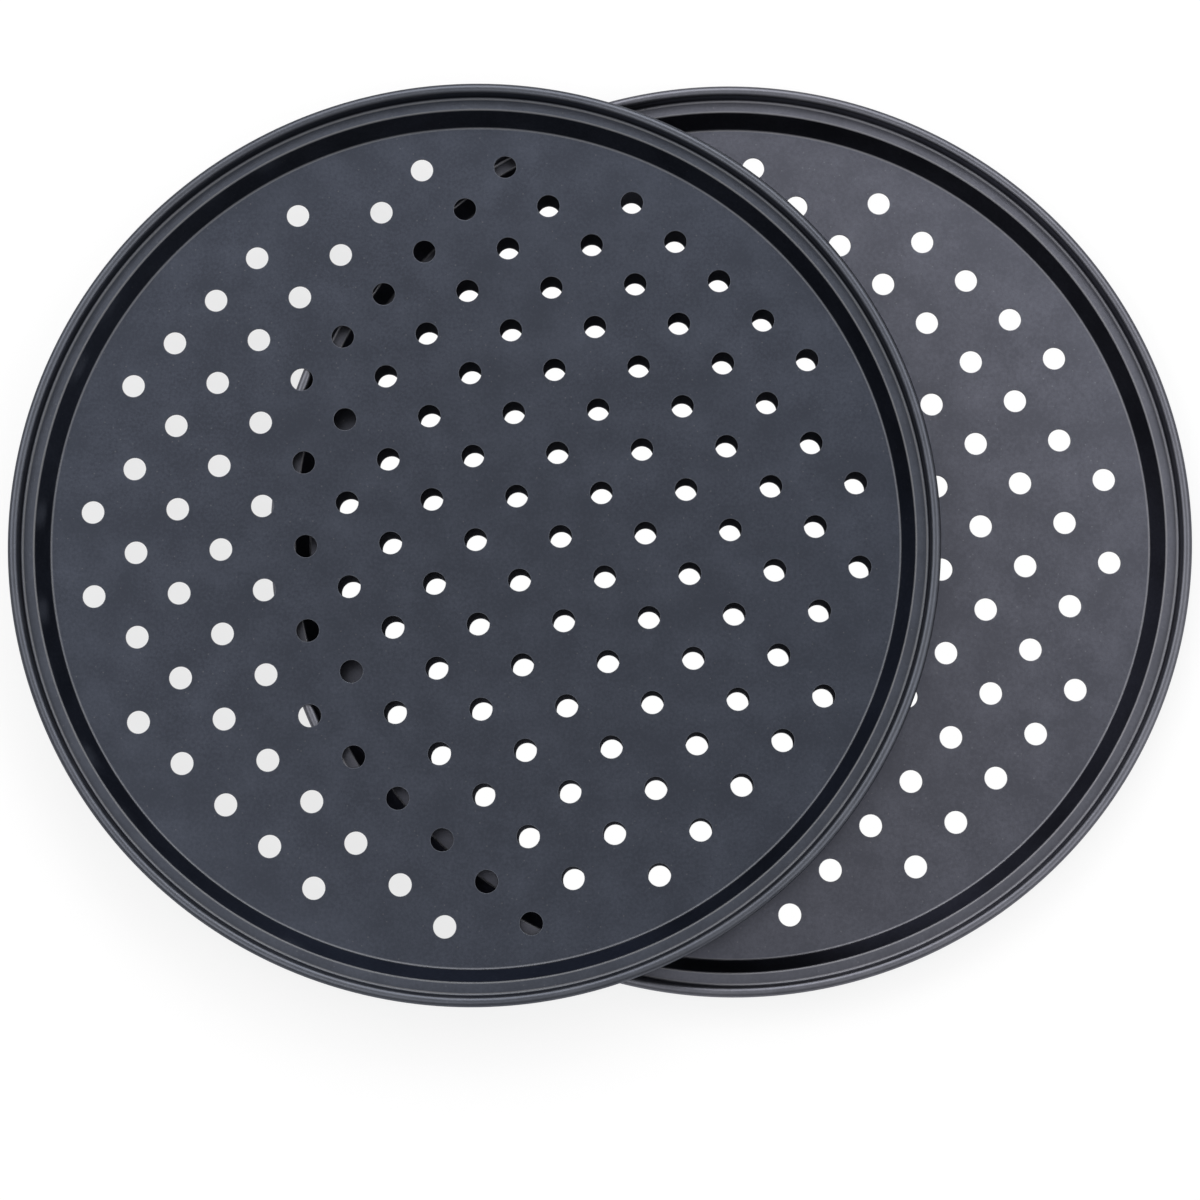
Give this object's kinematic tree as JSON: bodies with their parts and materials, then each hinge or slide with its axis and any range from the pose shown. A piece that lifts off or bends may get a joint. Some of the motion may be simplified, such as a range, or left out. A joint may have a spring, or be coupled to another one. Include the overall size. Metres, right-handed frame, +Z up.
{
  "type": "pizza pan",
  "caption": "Round perforated pizza pans of dark coated steel, each with a sloping wall, a stepped ledge and a rolled rim, the upper one lying loose across the lower one.",
  "frame": {"origin": "centre of the set's outline, on the surface that the lower pan stands on", "axes": "+X to the right, along the line of the two pans' centres, from the upper pan towards the lower; +Z up, out of the open faces of both pans; +Y away from the picture's viewer"},
  "size_m": [0.4158, 0.3286, 0.0284],
  "materials": {
    "coated_steel": "satin dark grey non-stick coating with a fine grain, on both faces of the steel"
  },
  "bodies": {
    "lower": {"lower_pan": "coated_steel"},
    "upper": {"upper_pan": "coated_steel"}
  },
  "joints": [
    {"name": "upper_pan_lift", "type": "slide", "parent": "lower", "child": "upper", "axis": [0, 0, 1], "range_m": [0, 0.1]}
  ]
}
